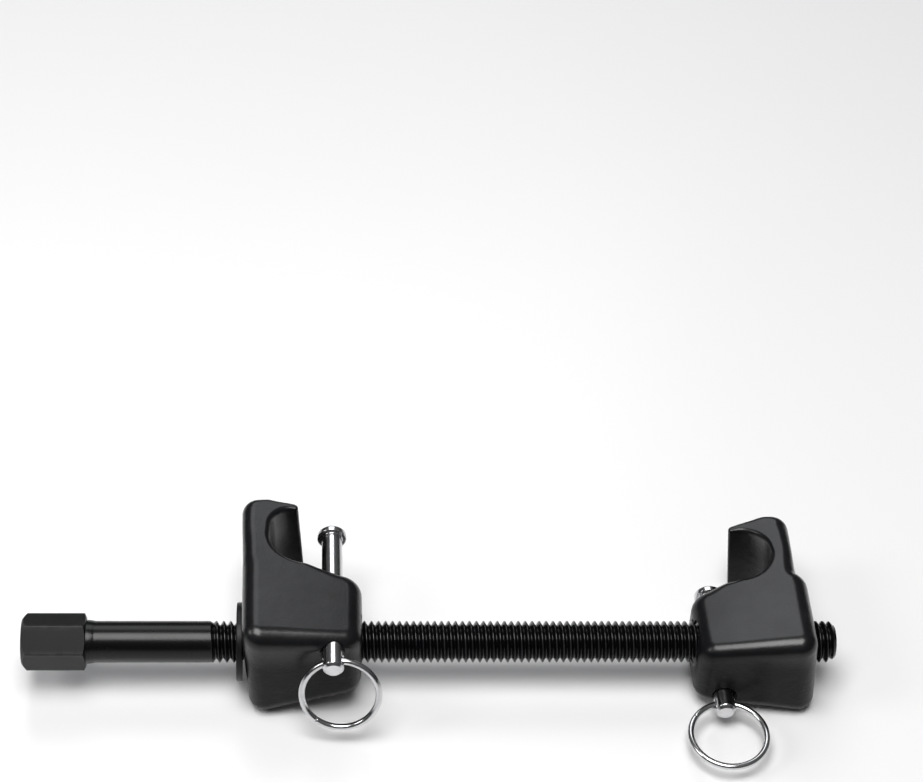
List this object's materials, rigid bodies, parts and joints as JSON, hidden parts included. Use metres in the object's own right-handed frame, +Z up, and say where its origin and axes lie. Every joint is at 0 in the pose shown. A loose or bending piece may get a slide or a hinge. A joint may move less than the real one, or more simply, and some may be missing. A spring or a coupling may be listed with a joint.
{
  "type": "coil spring compressor",
  "caption": "Hex-headed forcing screw carrying a sliding and a threaded hooked jaw, each with a ring-pull lock pin, that draws a coil spring's turns together.",
  "frame": {"origin": "middle of the bounding box's base, with the tool lying on the jaws' undersides", "axes": "+X along the screw from the hex head to the free end, +Y towards the hooks' tips, +Z up"},
  "size_m": [0.3682, 0.1248, 0.0569],
  "materials": {
    "black_casting": "satin black coating over a fine cast grain",
    "black_oxide": "oiled black oxide",
    "washer_black": "dull black oxide",
    "bright_zinc": "bright zinc plate",
    "spring_steel": "bare polished steel"
  },
  "bodies": {
    "sliding_jaw_body": {"sliding_jaw": "black_casting", "sliding_jaw_detent_ball": "spring_steel", "sliding_jaw_detent_spring": "spring_steel", "sliding_jaw_detent_plug": "black_oxide"},
    "screw_body": {"forcing_screw": "black_oxide"},
    "threaded_jaw_body": {"threaded_jaw": "black_casting", "threaded_jaw_detent_ball": "spring_steel", "threaded_jaw_detent_spring": "spring_steel", "threaded_jaw_detent_plug": "black_oxide"},
    "washer_body": {"thrust_washer": "washer_black"},
    "sliding_jaw_pin_body": {"sliding_jaw_lock_pin": "bright_zinc"},
    "threaded_jaw_pin_body": {"threaded_jaw_lock_pin": "bright_zinc"},
    "sliding_jaw_ring_body": {"sliding_jaw_pull_ring": "bright_zinc"},
    "threaded_jaw_ring_body": {"threaded_jaw_pull_ring": "bright_zinc"}
  },
  "joints": [
    {"name": "screw_turn", "type": "hinge", "parent": "sliding_jaw_body", "child": "screw_body", "pos_m": [0, -0.0025, 0.0264], "axis": [1, 0, 0], "range_deg": [-901, 14401]},
    {"name": "threaded_jaw_travel", "type": "slide", "parent": "sliding_jaw_body", "child": "threaded_jaw_body", "axis": [-1, 0, 0], "range_m": [-0.00794, 0.127]},
    {"name": "washer_slide", "type": "slide", "parent": "screw_body", "child": "washer_body", "axis": [-1, 0, 0], "range_m": [0, 0.064]},
    {"name": "sliding_jaw_pin_slide", "type": "slide", "parent": "sliding_jaw_body", "child": "sliding_jaw_pin_body", "axis": [0, -1, 0], "range_m": [-0.001, 0.0225]},
    {"name": "threaded_jaw_pin_slide", "type": "slide", "parent": "threaded_jaw_body", "child": "threaded_jaw_pin_body", "axis": [0, -1, 0], "range_m": [-0.001, 0.0135]},
    {"name": "sliding_jaw_ring_swing", "type": "hinge", "parent": "sliding_jaw_pin_body", "child": "sliding_jaw_ring_body", "pos_m": [-0.0452, -0.0281, 0.0417], "axis": [-0.9781, 0, -0.2079], "range_deg": [-17, 155]},
    {"name": "threaded_jaw_ring_swing", "type": "hinge", "parent": "threaded_jaw_pin_body", "child": "threaded_jaw_ring_body", "pos_m": [0.1329, -0.0269, 0.0111], "axis": [-1, 0, 0], "range_deg": [-85, 88]}
  ],
  "couplings": [
    {"joint": "screw_turn", "follows": "threaded_jaw_travel", "rad_per_m": 1979}
  ]
}
